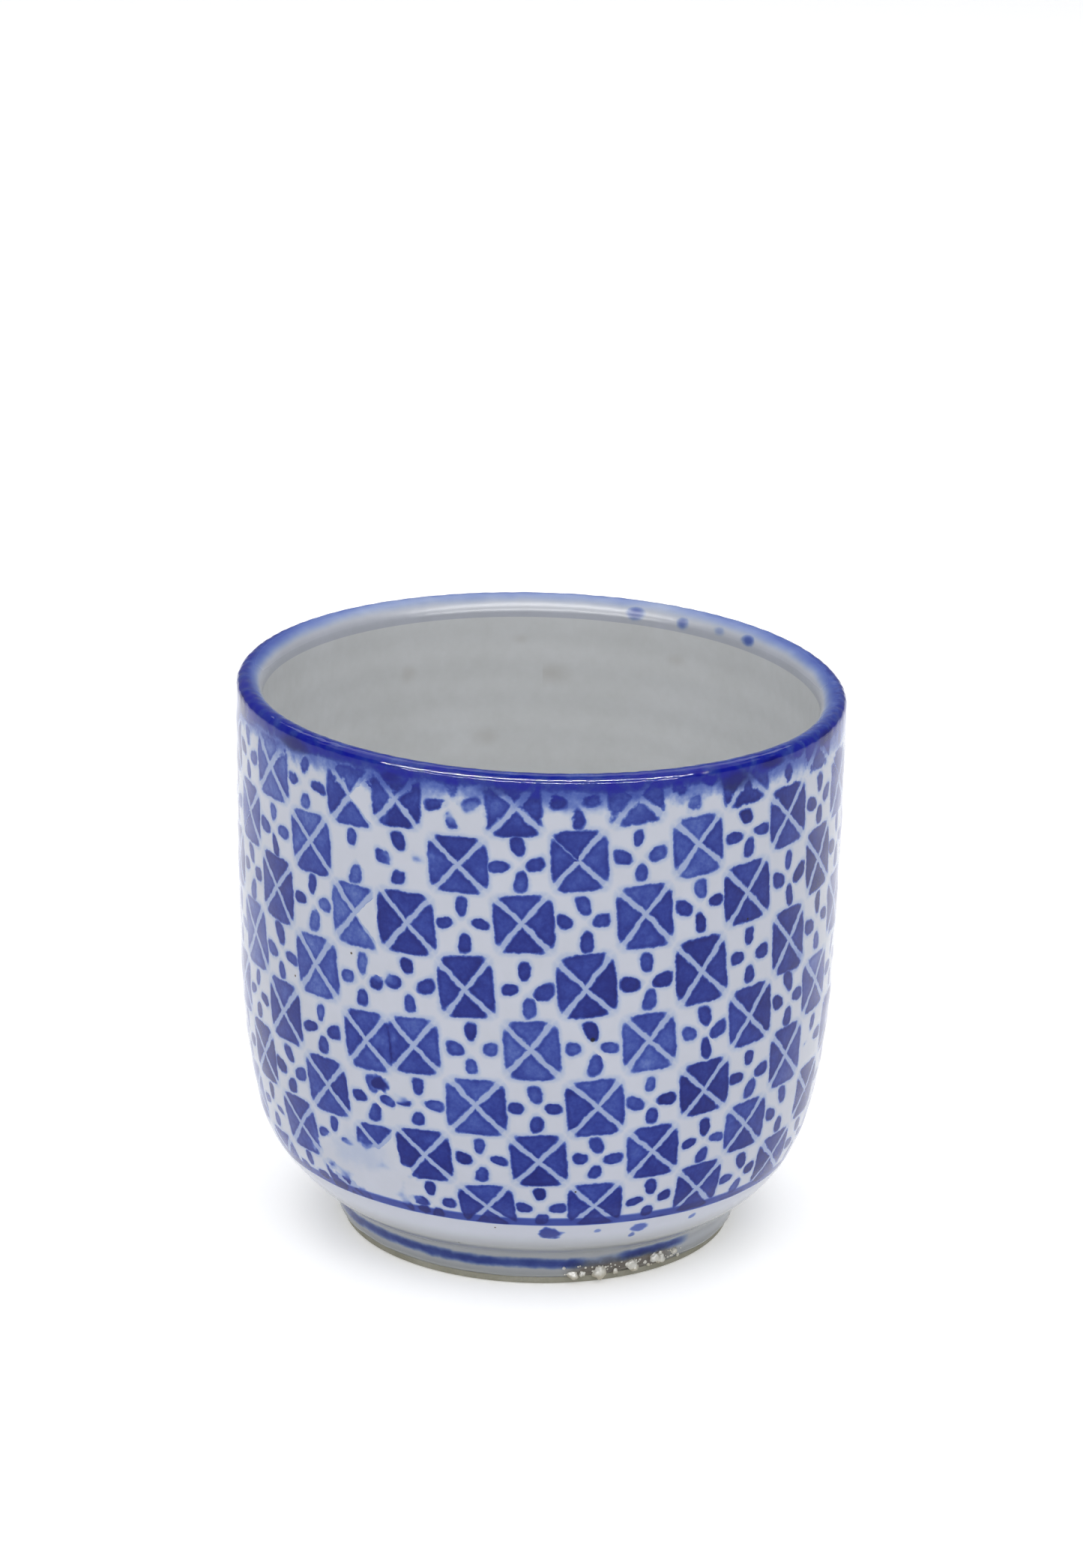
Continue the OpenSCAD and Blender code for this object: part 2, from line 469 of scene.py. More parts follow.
def larger(a, b):
    return calc(a.tree, "MAXIMUM", a, b)


def over(a, b):
    """1 where a is over b, else 0."""
    tree = a.tree if isinstance(a, Field) else b.tree
    return calc(tree, "GREATER_THAN", a, b)


def sine(degrees):
    return calc(degrees.tree, "SINE", degrees * math.radians(1))


def blend(share, a, b):
    """a where share is 0 and b where it is 1."""
    return a + share * (b - a)


def ramp(x, start, end, low_value=0.0, high_value=1.0):
    """Goes smoothly from low_value at start to high_value at end."""
    node = x.tree.nodes.new("ShaderNodeMapRange")
    node.interpolation_type = "SMOOTHSTEP"
    for socket, value in zip(node.inputs, (x, start, end, low_value, high_value)):
        feed(socket, value)
    return Field(node.outputs[0])


def joined(tree, x, y, z):
    """A vector from three numbers."""
    node = tree.nodes.new("ShaderNodeCombineXYZ")
    for socket, value in zip(node.inputs, (x, y, z)):
        feed(socket, value)
    return Field(node.outputs[0])


def split(vector):
    """A vector's three numbers."""
    node = vector.tree.nodes.new("ShaderNodeSeparateXYZ")
    feed(node.inputs[0], vector)
    return [Field(s) for s in node.outputs]


def place(tree):
    """Where a point is on the object, in metres."""
    return Field(tree.nodes.new("ShaderNodeTexCoord").outputs["Object"])


def wrap(tree):
    """A point's turn in degrees and its reach in millimetres."""
    node = tree.nodes.new("ShaderNodeUVMap")
    node.uv_map = "wrap"
    u, v, _ = split(Field(node.outputs[0]))
    return u * 360 - 180, v * WRAP_MM


def cloud(tree, size, detail, rough=0.5, seed=0.0):
    """Noise from about -1 to 1, with patches about size mm across."""
    spot = tree.nodes.new("ShaderNodeVectorMath")
    spot.operation = "ADD"
    feed(spot.inputs[0], place(tree))
    spot.inputs[1].default_value = (seed, seed * 0.7, -seed * 0.4)
    node = tree.nodes.new("ShaderNodeTexNoise")
    feed(node.inputs["Vector"], Field(spot.outputs[0]))
    node.inputs["Scale"].default_value = 1 / (size * MM)
    node.inputs["Detail"].default_value = detail
    node.inputs["Roughness"].default_value = rough
    return (Field(node.outputs[0]) - 0.5) * 2.6


def dice(tree, x, y, z):
    """Three random numbers from 0 to 1 that are the same all over a cell."""
    node = tree.nodes.new("ShaderNodeTexWhiteNoise")
    feed(node.inputs["Vector"], joined(tree, x, y, z))
    return split(Field(node.outputs["Color"]))


def group(name, inputs, outputs):
    """A new node group: its tree, its inputs as fields, and its output node."""
    tree = bpy.data.node_groups.new(name, "ShaderNodeTree")
    for word in inputs:
        tree.interface.new_socket(word, in_out="INPUT", socket_type="NodeSocketFloat")
    for word in outputs:
        tree.interface.new_socket(word, in_out="OUTPUT", socket_type="NodeSocketFloat")
    source = tree.nodes.new("NodeGroupInput")
    sink = tree.nodes.new("NodeGroupOutput")
    return tree, [Field(s) for s in source.outputs[:len(inputs)]], sink


def use(tree, made, *values):
    """The outputs of a group, fed with values."""
    node = tree.nodes.new("ShaderNodeGroup")
    node.node_tree = made
    for socket, value in zip(node.inputs, values):
        feed(socket, value)
    return [Field(s) for s in node.outputs]


# ---------------------------------------------------------------- the print

COLUMNS = 32  # motifs round the cup
COLUMN = 360 / COLUMNS
COLUMN_MM = 2 * math.pi * RIM_R / COLUMNS
ROW = 8.07
FIRST_ROW = 11.4
SHEAR = 0.119  # degrees that the columns lean over for each millimetre of reach
EDGE = 0.2  # half the softness of a printed edge
CHECK_HALF_W = 3.8
CHECK_HALF_H = 4.0
ARM_HALF = 0.34  # half the width of a saltire's arm
PETAL_AT = 2.3  # from a flower's middle to a petal's, and from a check's middle to a quarter's
PETAL_HALF_L = 1.2
PETAL_HALF_W = 0.85
BLOCKY = 2.5  # a petal is an ellipse at 2 and a rectangle at much more
FAR = 9  # more than any distance that shows


def printed_check(tree, i, j, x, y, seed):
    """A check with its white saltire: how far a point lies outside its square and outside its blue,
    where the point is on it, and the check's own luck.
    """
    luck = dice(tree, i, j, seed)
    more_luck = dice(tree, i, j, seed + 7.3)
    lean = (more_luck[2] - 0.5) * 0.07
    moved_x = x - (luck[2] - 0.5) * 0.45
    moved_y = y - (more_luck[0] - 0.5) * 0.4
    turned_x = moved_x + moved_y * lean
    turned_y = moved_y - moved_x * lean
    half_w = CHECK_HALF_W + (luck[0] - 0.5) * 0.5
    half_h = CHECK_HALF_H + (luck[1] - 0.5) * 0.5
    square = calc(tree, "SMOOTH_MAX", abs(turned_x) - half_w, abs(turned_y) - half_h, 3.0)

    # The saltire's arms flare towards the corners, and here and there fill in.
    cross_x = abs(turned_x - (more_luck[0] - 0.5) * 0.5 + cloud(tree, 1.9, 1, seed=9.0) * 0.16)
    cross_y = abs(turned_y - (more_luck[1] - 0.5) * 0.6)
    corner = calc(tree, "SIGN", turned_x) + calc(tree, "SIGN", turned_y) * 2
    arm = dice(tree, i * 8 + corner, j, seed + 1.7)
    arm_w = (ARM_HALF + (cross_x + cross_y) * 0.008) * ramp(arm[0], 0.04, 0.07, 0.1, 1.0)
    off_arm = abs(cross_x - cross_y * 0.95) * 0.72
    blue = calc(tree, "SMOOTH_MAX", square, arm_w - off_arm, 0.8)
    return square, blue, turned_x, turned_y, more_luck


def printed_petal(tree, i, j, x, y, sideways, seed):
    """How far a point lies outside a flower's petal. They lean a little, like a pinwheel."""
    side = blend(sideways, calc(tree, "SIGN", y) * 2, calc(tree, "SIGN", x))
    luck = dice(tree, i * 8 + side, j, seed + 3.1)
    along = larger(abs(x), abs(y)) - PETAL_AT - (luck[0] - 0.5) * 0.4
    across = blend(sideways, x, y) - (luck[1] - 0.5) * 0.5
    across = across + along * ((luck[2] - 0.5) * 0.5 + 0.06)
    share_along = abs(along / (PETAL_HALF_L + (luck[1] - 0.5) * 0.4))
    share_across = abs(across / ((PETAL_HALF_W + (luck[2] - 0.5) * 0.3) * (1 + along * 0.12)))
    blocky = [calc(tree, "POWER", share, BLOCKY) for share in (share_along, share_across)]
    oval = calc(tree, "POWER", blocky[0] + blocky[1], 1 / BLOCKY)
    return (oval - 1) * 0.95 + ramp(luck[0], 0.03, 0.0, 0.0, 3.0)


def print_tone(tree, turn, reach, quarter_luck, check_luck):
    """How strong the blue is within a shape, which varies from quarter to quarter of a check."""
    tone = 0.84 + (quarter_luck[0] - 0.5) * 0.3 + (check_luck[1] - 0.5) * 0.4
    tone = tone + ramp(turn, 15, 60) * ramp(turn, 170, 120) * 0.12 + ramp(reach, 34, 60) * 0.1
    tone = tone * ramp(reach + cloud(tree, 4, 2, seed=8.0) * 1.5, 3, 6.5, 0.72, 1.0)
    return tone + cloud(tree, 2.2, 3, 0.65, seed=6.0) * 0.28 + cloud(tree, 0.45, 2, seed=7.0) * 0.1


def sheet_group():
    """One sheet of the print: a staggered lattice of checks and flowers, as strength of blue, and
    the turn of the middle of the petal or the quarter of a check that a point belongs to.

    Origin is the turn of the sheet's first column, Drop moves its rows down, Seed parts one sheet's
    accidents from another's, and Bare rises from 0 where the transfer didn't take.
    """
    tree, (turn, reach, origin, drop, seed, bare), sink = group(
        "printed_sheet", ["Turn", "Reach", "Origin", "Drop", "Seed", "Bare"], ["Ink", "Middle"])

    # The sheets were laid on slightly askew, and gave a little as they were smoothed down.
    drift_turn = cloud(tree, 14, 1, seed=1.0) * 0.45 + cloud(tree, 1.3, 2, 0.6, seed=2.0) * 0.3
    drift_reach = cloud(tree, 14, 1, seed=3.0) * 0.3 + cloud(tree, 1.3, 2, 0.6, seed=4.0) * 0.22
    level = reach + (3.1 - reach * 0.032) * sine(turn) - drop
    swell = sine(larger(level - 20, 0.0) * 4.5) * 0.15
    column = (turn - origin - (reach - 28) * SHEAR + drift_turn) / COLUMN
    row = (level - FIRST_ROW + drift_reach) / ROW - swell
    i, j = round(column), round(row)
    x, y = (column - i) * COLUMN_MM, (row - j) * ROW
    odd = calc(tree, "PINGPONG", i + j, 1.0)
    sideways = over(abs(x), abs(y))

    step_x = calc(tree, "SIGN", x) * sideways * odd
    step_y = calc(tree, "SIGN", y) * (1 - sideways) * odd
    check_i, check_j = i + step_x, j + step_y
    square, check, check_x, check_y, check_luck = printed_check(
        tree, check_i, check_j, x - step_x * COLUMN_MM, y - step_y * ROW, seed)
    petal = printed_petal(tree, i, j, x, y, sideways, seed) + (1 - odd) * FAR

    # The ink wears off where the transfer didn't take, pools along edges and runs thin in places.
    worn = bare * 2.2 + cloud(tree, 2.4, 2, 0.4, seed=5.0) * 0.8 - 1.1
    near_lip = ramp(reach, 9, 3.5)
    broken = cloud(tree, 1.5, 2, 0.6, seed=10.0) * near_lip * 0.8
    fuzz = cloud(tree, 0.45, 2, 0.6, seed=12.0) * 0.06
    depth = fuzz - (smaller(check, petal) + larger(worn * 0.9, 0.0) + larger(broken, 0.0))
    soft = EDGE + larger(worn, 0.0) * 0.5 + near_lip * 0.12
    check_sideways = over(abs(check_x), abs(check_y))
    quarter = blend(check_sideways, calc(tree, "SIGN", check_y) * 2, calc(tree, "SIGN", check_x))
    quarter_luck = dice(tree, check_i * 8 + quarter, check_j, seed + 5.9)
    tone = print_tone(tree, turn, reach, quarter_luck, check_luck) + ramp(depth, 0.7, 0.1) * 0.16
    ink = ramp(depth, 0.0 - soft, soft) * tone * ramp(worn, 0.5, -0.6, 0.35, 1.0)
    under_check = ramp(square + larger(worn, 0.0) * 3, 0.1, -0.3) * 0.13
    halo = larger(ramp(depth, -0.7, 0.0) * 0.09, under_check)
    quarter_x = calc(tree, "SIGN", check_x) * check_sideways * PETAL_AT
    petal_x = calc(tree, "SIGN", x) * sideways * PETAL_AT
    from_middle = blend(over(check, petal), check_x - quarter_x, x - petal_x)
    feed(sink.inputs[0], larger(ink, halo))
    feed(sink.inputs[1], turn - from_middle * (COLUMN / COLUMN_MM))
    return tree


# Ovals on the cup's surface: turn, reach, half-width and half-height in mm, strength
BARE_PATCHES = [(-36.5, 56.8, 10.5, 4.6, 1.4), (-32.5, 59.6, 7.0, 3.6, 1.4), (-26, 44.5, 3.2, 2.0, 0.8),
                (-24, 12.5, 5.0, 2.4, 0.75), (-30, 28.5, 4.0, 2.4, 0.55), (-14, 5.5, 4.0, 2.6, 0.7),
                (120, 50, 6.0, 4.0, 0.9)]
BLOBS = [(3.7, 64.9, 1.9, 1.3, 0.9), (24.0, 65.0, 1.7, 1.0, 0.55), (22.5, 66.8, 0.8, 0.9, 0.5),
         (14.0, 64.6, 0.6, 0.5, 0.3), (37.0, 65.0, 0.8, 0.7, 0.4), (-23.5, 62.0, 1.4, 0.8, 1.1),
         (-30.5, 43.8, 1.9, 1.1, 1.3), (5.5, 60.0, 0.45, 0.4, 0.9), (-62, 66.0, 1.2, 0.6, 0.5)]
WASHES = [(-37, 55.0, 5.5, 3.2, 0.05), (-27, 3.0, 7.0, 2.0, 0.3), (6.0, 2.8, 9.0, 1.9, 0.26),
          (57, 30.0, 2.5, 2.0, 0.14)]
# Places on the lip where the band ran thick and fired dark
DARK_LIP = [(-76, 1.5, 3.0, 1.5, 1.0), (-52, 1.6, 3.4, 1.2, 0.9), (-28, 2.0, 1.6, 0.7, 0.5),
            (-7, 2.0, 4.0, 0.7, 0.25), (38, 2.2, 3.5, 1.5, 0.8), (47, 1.0, 2.5, 0.8, 0.9),
            (66, 0.9, 3.0, 1.1, 0.9), (130, 1.2, 6.0, 1.0, 0.6), (-140, 1.3, 5.0, 1.0, 0.6)]
INSIDE_DROPS = [(160, -3.3, 1.5, 1.1, 0.5), (149, -3.6, 1.2, 1.0, 0.42), (139.5, -3.4, 1.2, 0.8, 0.16),
                (131, -3.4, 1.5, 0.9, 0.5), (-66, -4.6, 0.9, 0.7, 0.3), (40, -4.5, 0.9, 0.8, 0.3)]
INSIDE_STAINS = [(178, -13, 3.4, 1.9, 0.1), (-168, -22, 2.6, 1.6, 0.08), (150, -9, 1.9, 1.3, 0.08),
                 (-150, -12, 1.8, 1.6, 0.1), (165, -30, 3.6, 2.4, 0.08), (-175, -8, 1.6, 1.0, 0.08),
                 (60, -20, 2.4, 2.0, 0.08), (-80, -30, 3.0, 2.0, 0.08), (20, -35, 2.4, 2.4, 0.08)]
# Rusty specks: turn, reach and half-width
SPECKS = [(-36.6, 26.9, 0.18), (10.6, 35.1, 0.34), (8.6, 57.1, 0.16), (-8.2, 63.9, 0.14),
          (42.0, 21.5, 0.16), (-19.0, 70.0, 0.15), (-52.0, 33.0, 0.17), (100, 30, 0.2), (170, 41, 0.25)]


def ovals(tree, turn, reach, table, rough, crisp):
    """The strongest of a table's soft ovals at a point. Crisp is the share of one that isn't soft."""
    total = 0.0
    ragged = cloud(tree, 2.2, 2, 0.5, seed=11.0) * rough
    for at_turn, at_reach, half_w, half_h, strength in table:
        dx = (turn - at_turn) * (math.radians(1) * RIM_R / half_w)
        dy = (reach - at_reach) / half_h
        away = calc(tree, "SQRT", dx * dx + dy * dy) + ragged
        total = calc(tree, "MAXIMUM", ramp(away, 1.15, crisp, 0.0, strength), total)
    return total


def bell(x, middle, half, soft):
    """1 within half of the middle, falling to 0 over soft on both sides."""
    return ramp(abs(x - middle), half + soft / 2, half - soft / 2)


FRONT_SEAM = -31.6
BACK_SEAM = 150.0
LAPPED_FROM = 80.0  # beyond this turn, the left sheet is the end that came round by the back
RIGHT_SHEET = -13.0, 0.0, 0.0  # its origin, drop and seed
LEFT_SHEET = COLUMN - 34.4, 0.6, 5.0
CROSSES = 2.4  # turn by which a whole petal or quarter may cross the cut edge of its sheet


def sheets(tree, turn, reach):
    """Two sheets, which meet in front on the left and again behind on the right."""
    made = sheet_group()
    seam = FRONT_SEAM + ramp(reach, 18, 42, 0.0, 3.0)
    bare = ovals(tree, turn, reach, BARE_PATCHES, 0.3, 0.35)
    bare = larger(bare, bell(turn, -30, 4, 6) * 0.32)
    right, right_middle = use(tree, made, turn, reach, *RIGHT_SHEET, bare)
    lapped = turn - over(turn, LAPPED_FROM) * 360
    left, left_middle = use(tree, made, lapped, reach, *LEFT_SHEET, bare)
    lap = ramp(reach, 24, 36, -2.4, 2.6) - ramp(reach, 47, 51) * 5
    ragged = cloud(tree, 1.6, 2, 0.6, seed=21.0) * 0.25
    near_right = ramp(turn - seam + ragged, -CROSSES - 0.4, -CROSSES + 0.4)
    in_right = over(right_middle, seam) * near_right * over(BACK_SEAM, right_middle)
    near_left = ramp(seam + lap - turn + ragged, -CROSSES - 0.4, -CROSSES + 0.4)
    in_left = over(seam + lap, left_middle) * near_left * over(LAPPED_FROM, turn)
    in_left = larger(in_left, over(left_middle, BACK_SEAM - 360) * over(turn, LAPPED_FROM))
    first, second = right * in_right, left * in_left
    return larger(first, second) + smaller(first, second) * 0.5


SHOULDER_LINE_AT = 62.38
FOOT_LINE_AT = 75.0


def lip_blue(tree, turn, reach, dark):
    """The band over the lip, which bleeds down into the print, runs pale over the crest, and is
    darkest just outside it.
    """
    bleed = cloud(tree, 5, 3, 0.65, seed=41.0) * 0.6 + cloud(tree, 1.1, 2, 0.6, seed=42.0) * 0.4
    band = ramp(reach + bleed, 2.9, 1.3)
    wash = ramp(reach + bleed * 1.9, 4.6, 1.8) * (0.5 + cloud(tree, 1.8, 2, 0.6, seed=46.0) * 0.16)
    # Thin ink over the crest, made paler towards the back as a painted highlight
    crest_ink_and_back_highlight = 0.6 + cloud(tree, 7, 2, seed=43.0) * 0.12 - ramp(abs(turn), 90, 160) * 0.4
    # At the back the dark outer ink starts lower and leaves more of the pale crest, as part of the same
    # painted highlight
    thick = ramp(reach - ramp(abs(turn), 80, 150) * 1.5, -1.9, -0.9)
    outer = 0.86 + cloud(tree, 3, 3, 0.65, seed=44.0) * 0.6 + bell(reach, 0.4, 1.1, 1.0) * 0.15
    outer = outer - ramp(turn, 30, 75) * 0.25 * ramp(turn, 165, 110)
    edge_in = cloud(tree, 6, 2, seed=45.0) * 0.35
    over_lip = ramp(reach + edge_in, -3.3, -1.2) * blend(thick, crest_ink_and_back_highlight, outer)
    return larger(over_lip * band, wash * ramp(reach, -1, 0)) + dark * 0.5 * ramp(reach, -1.2, 0.0)


def foot_blue(tree, turn, reach):
    """The line round the foot, broken at the right of the front, where grit stuck to it."""
    middle = FOOT_LINE_AT + cloud(tree, 12, 2, seed=51.0) * 0.35
    middle = middle - ramp(turn, 14, 34) * ramp(turn, 150, 70) * 0.6
    gap = larger(bell(turn, 19, 6, 5) * 0.75, bell(turn, 62, 17, 8))
    strength = (0.72 + cloud(tree, 4, 3, 0.65, seed=52.0) * 0.26) * (1 - gap)
    uneven = cloud(tree, 1.9, 2, 0.6, seed=53.0) * 0.26
    return bell(reach + uneven, middle, 0.62, 0.95) * strength


def iron_marks(tree, turn, reach, dark):
    """Rusty specks, the band's dark places, stains inside and ash from the sand that stuck."""
    specks = [(at_turn, at_reach, half, half, 1.6) for at_turn, at_reach, half in SPECKS]
    iron = ovals(tree, turn, reach, specks, 0.15, 0.5)
    spots = tree.nodes.new("ShaderNodeTexVoronoi")
    feed(spots.inputs["Vector"], place(tree))
    spots.inputs["Scale"].default_value = 1 / (5 * MM)
    size = split(Field(spots.outputs["Color"]))[0]
    speck = ramp(Field(spots.outputs["Distance"]), 0.028, 0.012) * ramp(size, 0.8, 1.0, 0.0, 1.0)
    iron = larger(iron, speck)
    iron = larger(iron, dark * 0.45)
    iron = larger(iron, ovals(tree, turn, reach, INSIDE_STAINS, 0.3, 0.0))
    ash = bell(turn, 26, 15, 9) * ramp(reach + cloud(tree, 1.6, 3, 0.6, seed=54.0) * 0.5, 74.3, 75.6)
    ash = ash * ramp(reach, 80, 78)
    return larger(iron, ash * (0.75 + cloud(tree, 0.9, 3, 0.6, seed=55.0) * 0.35))


def cobalt_group():
    """All the blue on the cup, and the rusty specks in its glaze, from turn and reach."""
    tree, (turn, reach), sink = group("cobalt_print", ["Turn", "Reach"], ["Ink", "Iron"])
    line_at = SHOULDER_LINE_AT + sine(turn - 5) * 0.45 + cloud(tree, 9, 2, seed=31.0) * 0.12
    line_ink = 0.78 + cloud(tree, 6, 3, 0.6, seed=32.0) * 0.16
    line = ramp(reach - line_at, -1.0, -0.45) * ramp(reach - line_at, 0.82, 0.55) * line_ink
    ink = sheets(tree, turn, reach) * ramp(reach - line_at, 0.75, 0.55) * ramp(reach, -1.4, 0.4)
    ink = larger(ink, ovals(tree, turn, reach, BLOBS, 0.8, 0.6))
    ink = larger(ink, line) + smaller(ink, line) * 0.35
    ink = ink + ovals(tree, turn, reach, WASHES, 0.5, 0.2)
    dark = ovals(tree, turn, reach, DARK_LIP, 0.35, 0.3)
    lip = lip_blue(tree, turn, reach, dark)
    ink = larger(ink, lip) + smaller(ink, lip) * 0.45
    ink = larger(ink, ovals(tree, turn, reach, INSIDE_DROPS, 0.25, 0.2))
    feed(sink.inputs[0], larger(ink, foot_blue(tree, turn, reach)))
    feed(sink.inputs[1], iron_marks(tree, turn, reach, dark))
    return tree


# ---------------------------------------------------------------- materials

# Linear colours. A layer of full strength lets these shares of the light through.
GLAZE = (0.50, 0.52, 0.594)
# The inside is the same glaze as the outside, given a lighter colour here: painted light that brightens
# the inside of the cup
INSIDE_GLAZE_WITH_PAINTED_LIGHT = (0.66, 0.672, 0.692)
COBALT = (0.02, 0.044, 0.36)
COBALT_CURVE = (1.0, 1.05, 1.25)  # over 1, a thin layer holds back less than its share
COBALT_MOST = 1.5  # the strength at which cobalt holds back no more blue light
COBALT_MOST_ON_LIP = 0.86
IRON = (0.34, 0.28, 0.22)
# A grey tint for glaze pooled in the corner and on the foot, for random grey mottle, and as painted shade
# on the lower wall and foot that face down
GREY_POOL_AND_SHADE = (0.5, 0.5, 0.44)
GLAZE_IOR = 1.46
GLAZE_SPECULAR = 0.25  # half of a plain surface's reflection


def material(name):
    """A new material's tree and its shader."""
    made = bpy.data.materials.new(name)
    made.use_nodes = True
    tree = made.node_tree
    return made, tree, tree.nodes["Principled BSDF"]


def bump(tree, shader, height):
    """Raises a surface by a height in millimetres."""
    node = tree.nodes.new("ShaderNodeBump")
    node.inputs["Distance"].default_value = MM
    node.inputs["Strength"].default_value = 1.0
    feed(node.inputs["Height"], height)
    feed(shader.inputs["Normal"], Field(node.outputs[0]))


def tint(tree, base, layers):
    """A base colour seen through layers, each of them a strength and a colour."""
    channels = []
    for c in range(3):
        value = base[c]
        for strength, colour in layers:
            value = calc(tree, "POWER", colour[c], strength) * value
        channels.append(value)
    return joined(tree, *channels)


def through_cobalt(tree, base, ink, most):
    """A base colour seen through cobalt, whose hold on blue light grows only up to a strength."""
    held = smaller(ink, most)
    strengths = [calc(tree, "POWER", d, curve) for d, curve in zip((ink, ink, held), COBALT_CURVE)]
    return [calc(tree, "POWER", COBALT[c], strengths[c]) * base[c] for c in range(3)]


def glaze(name, cobalt, base=GLAZE):
    """Clear glossy glaze, with the print under it."""
    made, tree, shader = material(name)
    turn, reach = wrap(tree)
    ink, iron = use(tree, cobalt, turn, reach)
    # Grey where the glaze pools above and below the foot line, deepened as painted shade on the
    # downward-facing base
    pooled_and_shade = bell(reach, 71.5, 3.5, 6.0) * 0.8 + ramp(reach, 75.0, 77.0) * ramp(reach, 86, 80) * 0.7
    mottle = (cloud(tree, 11, 4, 0.65, seed=61.0) + 1) * 0.06
    mottle = mottle + (cloud(tree, 1.6, 3, 0.6, seed=62.0) + 1) * 0.03
    mottle = mottle * ramp(reach, -3, -1, 1.7, 1.0)
    blued = through_cobalt(tree, base, ink, ramp(reach, 4.5, 2.0, COBALT_MOST, COBALT_MOST_ON_LIP))
    colour = tint(tree, blued, [(iron, IRON), (pooled_and_shade + mottle, GREY_POOL_AND_SHADE)])
    feed(shader.inputs["Base Color"], colour)
    shader.inputs["IOR"].default_value = GLAZE_IOR
    shader.inputs["Specular IOR Level"].default_value = GLAZE_SPECULAR
    # The lip shines at the front, and the glaze is a little satiny elsewhere.
    away_from_lip = larger(ramp(abs(reach + LIP_SHOULDER), 1.5, 6), ramp(abs(turn), 60, 115))
    rough = 0.01 + away_from_lip * 0.11 + (cloud(tree, 4, 3, 0.6, seed=63.0) + 1) * 0.015
    rough = rough + bell(reach, -2.5, 1.5, 2.0) * ramp(abs(turn), 60, 115) * 0.25
    feed(shader.inputs["Roughness"], rough)
    peel = cloud(tree, 3.2, 2, seed=64.0) * 0.006 + cloud(tree, 0.7, 2, seed=65.0) * 0.0012
    peel = peel + cloud(tree, 0.5, 1, seed=66.0) * 0.0025 * (1 - away_from_lip)
    bump(tree, shader, peel)
    return made


def bare_clay(name):
    """The unglazed foot: fine, sandy and stained by the table and the kiln."""
    made, tree, shader = material(name)
    grain = cloud(tree, 0.5, 4, 0.7, seed=71.0)
    stain = cloud(tree, 5, 4, 0.65, seed=72.0)
    pits = ramp(cloud(tree, 0.9, 2, seed=73.0), 0.55, 0.95)
    layers = [(0.45 + stain * 0.4 + grain * 0.12, (0.52, 0.50, 0.38)), (pits, (0.45, 0.4, 0.32))]
    feed(shader.inputs["Base Color"], tint(tree, (0.29, 0.285, 0.235), layers))
    feed(shader.inputs["Roughness"], 0.78 + grain * 0.07)
    bump(tree, shader, grain * 0.03 - pits * 0.06)
    return made


def grit_stone(name):
    """Crumbs of kiln sand, half melted and stained brown at their foot."""
    made, tree, shader = material(name)
    grain = cloud(tree, 0.35, 3, 0.6, seed=81.0)
    stain = larger(cloud(tree, 1.3, 3, 0.6, seed=82.0) + 0.25, 0.0)
    height = split(place(tree))[2]
    near_floor = ramp(height, 1.9 * MM, 0.7 * MM)
    layers = [(stain * 0.35 + near_floor * 0.5, (0.5, 0.42, 0.28)), (grain + 1, (0.95, 0.95, 0.93))]
    feed(shader.inputs["Base Color"], tint(tree, (0.63, 0.62, 0.58), layers))
    feed(shader.inputs["Roughness"], 0.42 + grain * 0.12)
    bump(tree, shader, grain * 0.04)
    return made


def dress(piece, finish, slot, *nodes):
    """Gives a piece its material and its body, and hides the model's parts that it stands for. The slot
    is not used.
    """
    piece.data.materials.clear()
    piece.data.materials.append(finish)
    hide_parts(*nodes)
    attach(piece, "root")


# ---------------------------------------------------------------- the cup

FOOT_GLAZE_END = reach_at(BARE_H)
WELL_GLAZE_START = reach_at(BARE_H, "well")
BAND = reach_at(BAND_Z, "inside"), reach_at(BAND_Z)

cobalt = cobalt_group()
printed = glaze("printed_glaze", cobalt)
clear = glaze("clear_glaze", cobalt)
# The inside glaze is lightened: painted light inside the cup
inner = glaze("inner_glaze", cobalt, INSIDE_GLAZE_WITH_PAINTED_LIGHT)
blue = glaze("cobalt_under_glaze", cobalt)
bare = bare_clay("bare_foot_clay")
stone = grit_stone("kiln_sand")

# The clay's foot starts at FOOT_H, and the body above it is open there
body_rows = offset(stretch(FLOOR_MIDDLE, reach_at(FOOT_H, t=0)), -BEDDING)
under_rows = offset(stretch(reach_at(FOOT_H, "well", 0), WELL_MIDDLE), -BEDDING)
wall = turned("porcelain_wall", body_rows, under_rows[::-1], turns=TURNS // 2)
dress(wall, printed, "porcelain", "porcelain_body")

foot_rows = stretch(reach_at(FOOT_H, t=0), reach_at(FOOT_H, "well", 0))
foot = turned("foot_ring_bare", foot_rows, foot_rows[[0, -1]], strips=4)
dress(foot, bare, "bare_foot", "foot_ring")

inside = coat("glaze_inner", FLOOR_MIDDLE, BAND[0])
dress(inside, inner, "clear_glaze", "inner_glaze")
lip = coat("cobalt_rim_band", *BAND, turns=2 * TURNS, strips=4)
dress(lip, blue, "cobalt", "rim_band")
outside = coat("glaze_outer", BAND[1], reach_at(SHOULDER_LINE[1]))
dress(outside, printed, "printed_glaze", "outer_glaze")
shoulder = coat("cobalt_shoulder_line", *map(reach_at, SHOULDER_LINE[::-1]), strips=8)
dress(shoulder, blue, "cobalt", "shoulder_line")
base = joined_pieces("glaze_base", [
    coat("glaze_base_upper", reach_at(SHOULDER_LINE[0]), reach_at(FOOT_LINE[1]), strips=4),
    coat("glaze_base_lower", reach_at(FOOT_LINE[0]), FOOT_GLAZE_END, strips=4)])
dress(base, clear, "clear_glaze", "base_glaze")
foot_line = coat("cobalt_foot_line", *map(reach_at, FOOT_LINE[::-1]), strips=8)
dress(foot_line, blue, "cobalt", "foot_line")
